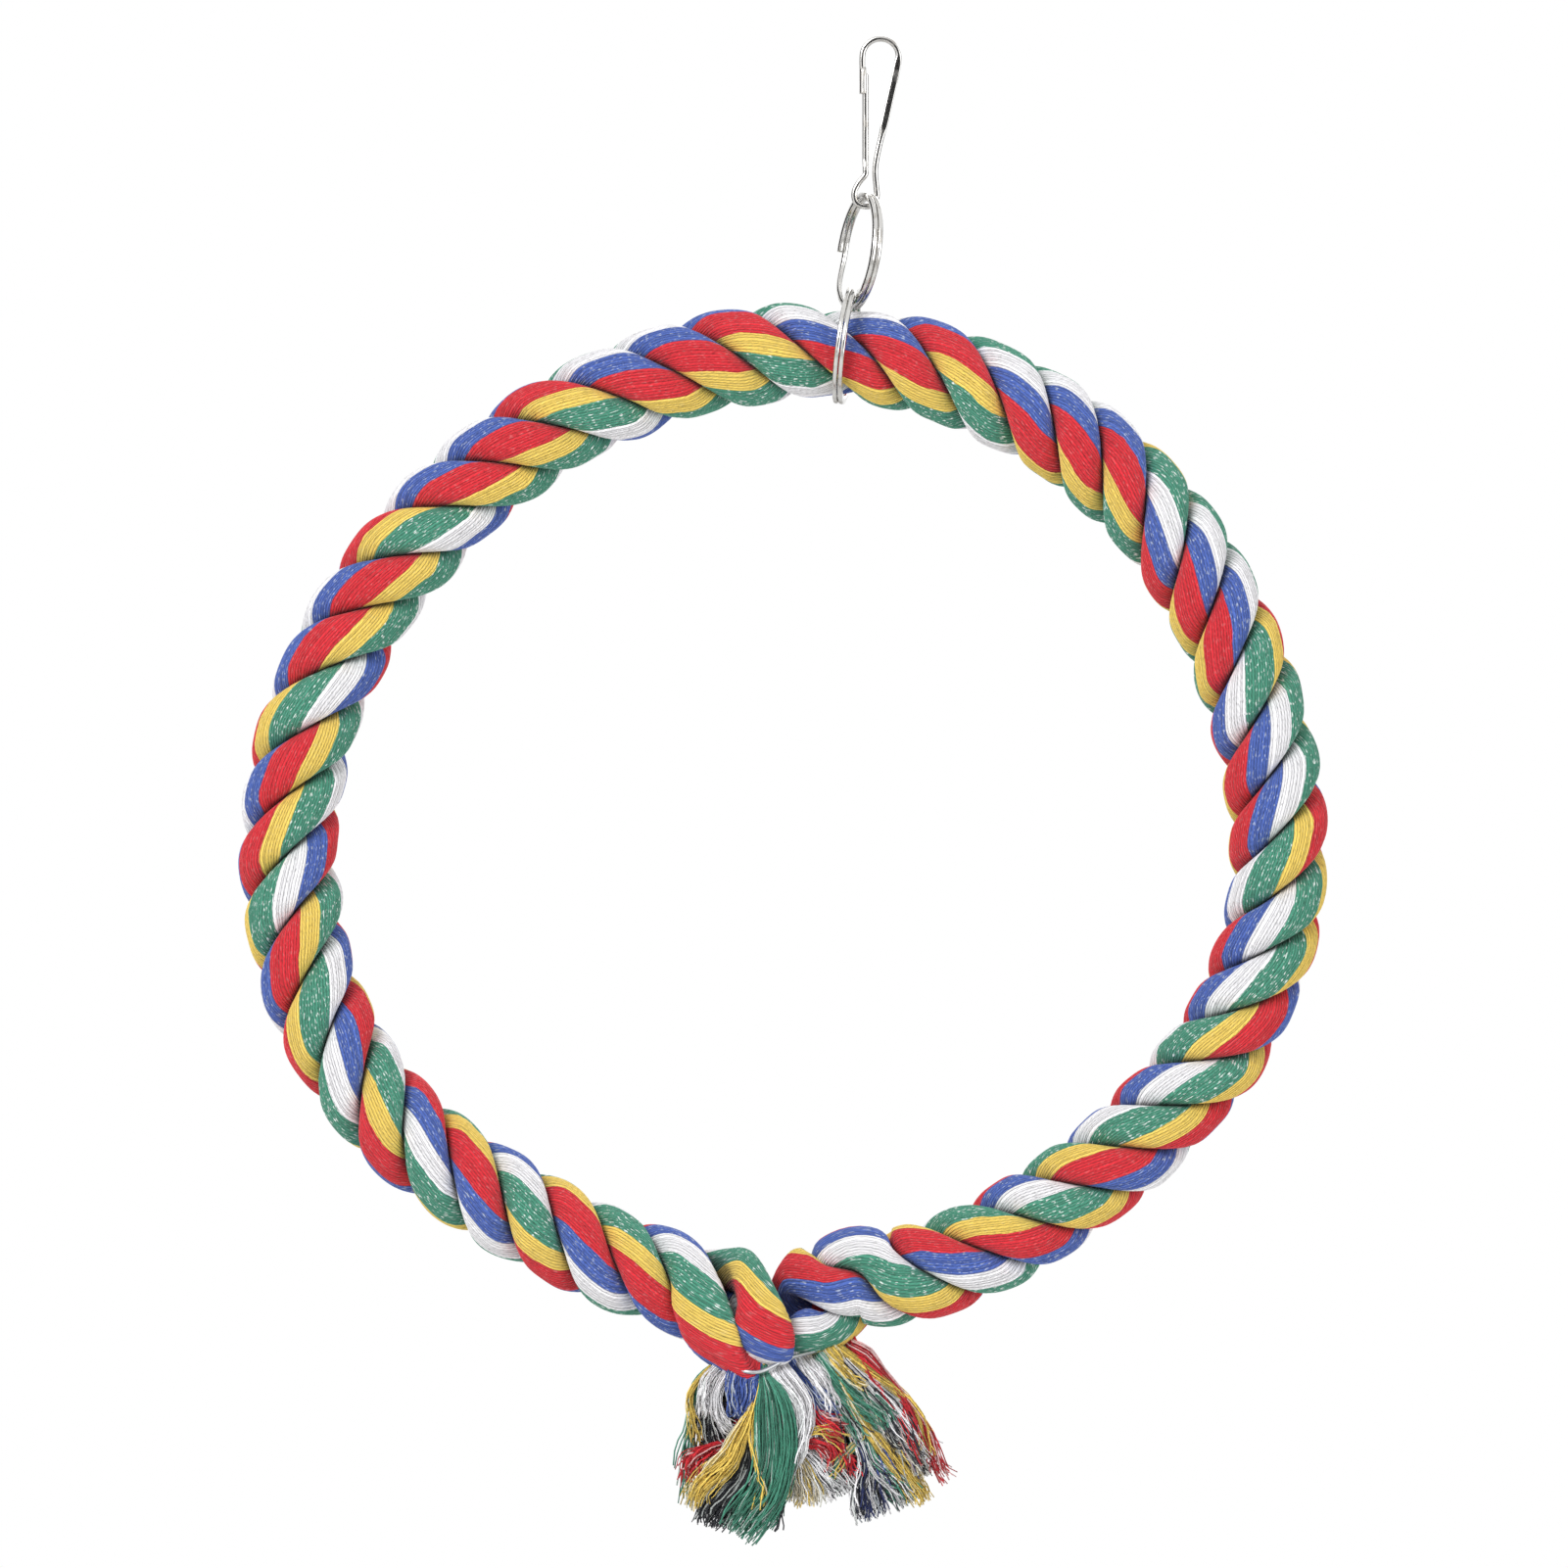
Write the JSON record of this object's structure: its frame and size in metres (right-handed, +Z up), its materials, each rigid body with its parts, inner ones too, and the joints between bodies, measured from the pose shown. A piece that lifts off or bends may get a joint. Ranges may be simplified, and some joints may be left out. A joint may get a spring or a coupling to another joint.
{
  "type": "rope bird swing",
  "caption": "Round loop of thick multicolour twisted cotton rope, tied and frayed at the bottom, hung by linked split rings from a bent-wire snap hook, as a perch for a cage bird.",
  "frame": {"origin": "the seat inside the snap hook's crown, where a cage bar carries the swing", "axes": "+Z up along the line the swing hangs in, X across the loop in its own plane, +Y from the front of the loop to its back"},
  "size_m": [0.2603, 0.0355, 0.3628],
  "materials": {
    "nickel_plate": "bright nickel plate, lightly worn",
    "zinc_wire": "galvanised soft iron wire, dull",
    "cotton_strand": "soft cotton yarn in red, yellow, green, blue and white bands, matte",
    "loose_yarn": "frayed cotton yarn in the same colours, matte"
  },
  "bodies": {
    "hook": {"hook_wire": "nickel_plate"},
    "gate": {"gate_arm": "nickel_plate"},
    "upper_ring": {"upper_split_ring": "nickel_plate"},
    "lower_ring": {"lower_split_ring": "nickel_plate"},
    "rope_loop": {"strand_a": "cotton_strand", "strand_b": "cotton_strand", "strand_c": "cotton_strand", "core_wire": "zinc_wire", "tie_wire": "zinc_wire", "left_tassel_a": "loose_yarn", "left_tassel_b": "loose_yarn", "left_tassel_c": "loose_yarn", "right_tassel_a": "loose_yarn", "right_tassel_b": "loose_yarn", "right_tassel_c": "loose_yarn"}
  },
  "joints": [
    {"name": "gate_flex", "type": "hinge", "parent": "hook", "child": "gate", "pos_m": [0.00044, 0, -0.03051], "axis": [0, 1, 0], "range_deg": [0, 12], "stiffness_Nm_per_rad": 0.3},
    {"name": "upper_ring_swing", "type": "hinge", "parent": "hook", "child": "upper_ring", "pos_m": [0.00156, 0, -0.03708], "axis": [0, 1, 0], "range_deg": [-20, 20]},
    {"name": "lower_ring_slide", "type": "hinge", "parent": "upper_ring", "child": "lower_ring", "pos_m": [0.00156, 0, -0.05049], "axis": [0.9558, 0.294, 0], "range_deg": [-25, 25]},
    {"name": "loop_swing", "type": "hinge", "parent": "lower_ring", "child": "rope_loop", "pos_m": [0.00156, 0, -0.07529], "axis": [1, 0, 0], "range_deg": [-45, 45]}
  ]
}
